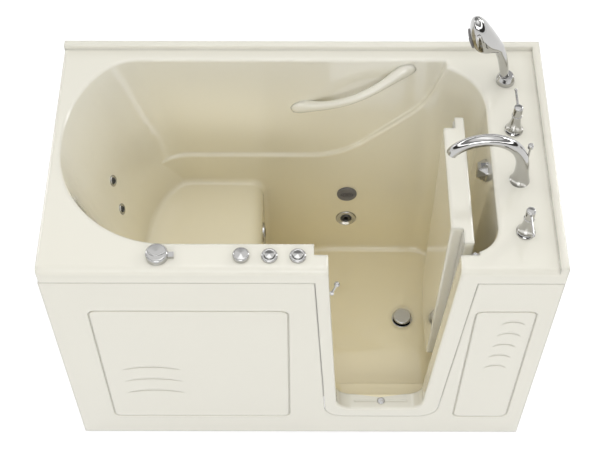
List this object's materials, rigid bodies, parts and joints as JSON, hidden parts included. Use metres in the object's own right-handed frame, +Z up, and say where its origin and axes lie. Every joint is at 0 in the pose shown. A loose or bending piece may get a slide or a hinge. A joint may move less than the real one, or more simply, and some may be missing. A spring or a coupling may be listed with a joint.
{
  "type": "walk-in jetted bathtub",
  "caption": "Walk-in jetted bathtub with a moulded seat and footwell, inward-swinging door, deck-mounted filler, hand shower, grab bar, jets, pump and levelling frame.",
  "frame": {"origin": "floor level, centre of the tub's length and depth", "axes": "+X along the tub from the seat to the filler end, +Y from the door front to the back wall, +Z up"},
  "size_m": [1.346, 0.762, 1.2017],
  "materials": {
    "cream_acrylic": "gloss biscuit acrylic",
    "chrome": "polished chrome plate",
    "galvanised_steel": "galvanised, satin",
    "brass": "raw brass and copper",
    "white_pvc": "white pipe plastic",
    "clear_hose": "milky flexible hose",
    "dark_plastic": "moulded dark plastic",
    "grey_plastic": "moulded grey plastic",
    "rubber": "moulded rubber",
    "seal_rubber": "soft extruded seal",
    "motor_paint": "satin paint"
  },
  "bodies": {
    "tub": {"tub_shell": "cream_acrylic", "front_apron": "cream_acrylic", "access_panel_left": "cream_acrylic", "access_panel_right": "cream_acrylic", "end_panel": "cream_acrylic", "grab_bar": "cream_acrylic", "hinge_wall_leaves": "chrome", "sill_drain_cap": "chrome", "jet_rings": "chrome", "drain_flange": "chrome", "valve_bells": "chrome", "spout": "chrome", "shower_holder": "chrome", "support_frame": "galvanised_steel", "hinge_pins": "galvanised_steel", "latch_spindle": "galvanised_steel", "valve_bodies": "brass", "filler_crossbar": "brass", "shower_pipe": "brass", "jet_bodies": "white_pvc", "suction_fitting": "white_pvc", "overflow_body": "white_pvc", "drain_shoe": "white_pvc", "overflow_pipe": "white_pvc", "jet_manifold": "white_pvc", "suction_pipe": "white_pvc", "foot_jet_pipe": "white_pvc", "seat_jet_pipe": "white_pvc", "diverter_valve": "white_pvc", "air_valve": "white_pvc", "button_housings": "white_pvc", "air_pipe": "white_pvc", "back_jet_hoses": "clear_hose", "pump_volute": "dark_plastic", "suction_cover": "grey_plastic", "leveling_feet": "rubber", "floor_pads": "rubber", "pump_motor": "motor_paint"},
    "door": {"door_panel": "cream_acrylic", "door_seal": "seal_rubber", "hinge_door_leaves": "chrome"},
    "latch": {"latch_lever": "chrome"},
    "overflow_control": {"overflow_knob": "chrome"},
    "stopper": {"drain_stopper": "chrome"},
    "hot_handle": {"hot_lever": "chrome"},
    "cold_handle": {"cold_lever": "chrome"},
    "spout_lift": {"spout_lift_knob": "chrome"},
    "shower": {"hand_shower": "chrome"},
    "selector": {"spray_selector": "dark_plastic"},
    "diverter": {"diverter_knob": "chrome"},
    "air_control": {"air_knob": "chrome"},
    "pump_switch": {"pump_button": "chrome"},
    "aux_switch": {"aux_button": "chrome"},
    "foot_nozzle": {"foot_jet_nozzle": "dark_plastic"},
    "seat_nozzle": {"seat_jet_nozzle": "dark_plastic"},
    "high_nozzle": {"back_jet_high_nozzle": "dark_plastic"},
    "low_nozzle": {"back_jet_low_nozzle": "dark_plastic"}
  },
  "joints": [
    {"name": "door_hinge", "type": "hinge", "parent": "tub", "child": "door", "pos_m": [0.449, -0.2945, 0.54], "axis": [0, 0, 1], "range_deg": [0, 90]},
    {"name": "latch_turn", "type": "hinge", "parent": "tub", "child": "latch", "pos_m": [0.07453, -0.368, 0.825], "axis": [1, 0, 0], "range_deg": [0, 90]},
    {"name": "overflow_turn", "type": "hinge", "parent": "tub", "child": "overflow_control", "pos_m": [0.50421, -0.004, 0.87], "axis": [-0.9994, 0, 0.0349], "range_deg": [0, 90]},
    {"name": "stopper_lift", "type": "slide", "parent": "tub", "child": "stopper", "axis": [0, 0, 1], "range_m": [-0.01, 0]},
    {"name": "hot_turn", "type": "hinge", "parent": "tub", "child": "hot_handle", "pos_m": [0.575, 0.073, 1.03], "axis": [0, 0, 1], "range_deg": [0, 90]},
    {"name": "cold_turn", "type": "hinge", "parent": "tub", "child": "cold_handle", "pos_m": [0.575, -0.259, 1.03], "axis": [0, 0, -1], "range_deg": [0, 90]},
    {"name": "spout_pull", "type": "slide", "parent": "tub", "child": "spout_lift", "axis": [0, 0, 1], "range_m": [0, 0.012]},
    {"name": "shower_lift", "type": "slide", "parent": "tub", "child": "shower", "axis": [-0.3584, 0, 0.9336], "range_m": [0, 0.08]},
    {"name": "selector_swing", "type": "hinge", "parent": "shower", "child": "selector", "pos_m": [0.4562, 0.247, 1.12513], "axis": [-0.9336, 0, -0.3584], "range_deg": [-20, 20]},
    {"name": "diverter_turn", "type": "hinge", "parent": "tub", "child": "diverter", "pos_m": [-0.366, -0.335, 0.95], "axis": [0, 0, 1], "range_deg": [0, 180]},
    {"name": "air_turn", "type": "hinge", "parent": "tub", "child": "air_control", "pos_m": [-0.153, -0.335, 0.95], "axis": [0, 0, 1], "range_deg": [0, 180]},
    {"name": "pump_press", "type": "slide", "parent": "tub", "child": "pump_switch", "axis": [0, 0, 1], "range_m": [-0.004, 0], "stiffness_N_per_m": 600, "springref_m": 0.002},
    {"name": "aux_press", "type": "slide", "parent": "tub", "child": "aux_switch", "axis": [0, 0, 1], "range_m": [-0.004, 0], "stiffness_N_per_m": 600, "springref_m": 0.002},
    {"name": "foot_nozzle_turn", "type": "hinge", "parent": "tub", "child": "foot_nozzle", "pos_m": [0.145, 0.25906, 0.254], "axis": [0, -0.9977, 0.0673], "range_deg": [-120, 0]},
    {"name": "seat_nozzle_turn", "type": "hinge", "parent": "tub", "child": "seat_nozzle", "pos_m": [-0.12, 0.172, 0.298], "axis": [1, 0, 0], "range_deg": [-120, 0]},
    {"name": "high_nozzle_turn", "type": "hinge", "parent": "tub", "child": "high_nozzle", "pos_m": [-0.54698, 0.098, 0.677], "axis": [0.9308, -0.1647, 0.3262], "range_deg": [-120, 0]},
    {"name": "low_nozzle_turn", "type": "hinge", "parent": "tub", "child": "low_nozzle", "pos_m": [-0.52616, 0.051, 0.601], "axis": [0.9421, -0.0651, 0.3289], "range_deg": [-120, 0]}
  ],
  "couplings": [
    {"joint": "stopper_lift", "follows": "overflow_turn", "m_per_rad": -0.006366}
  ]
}
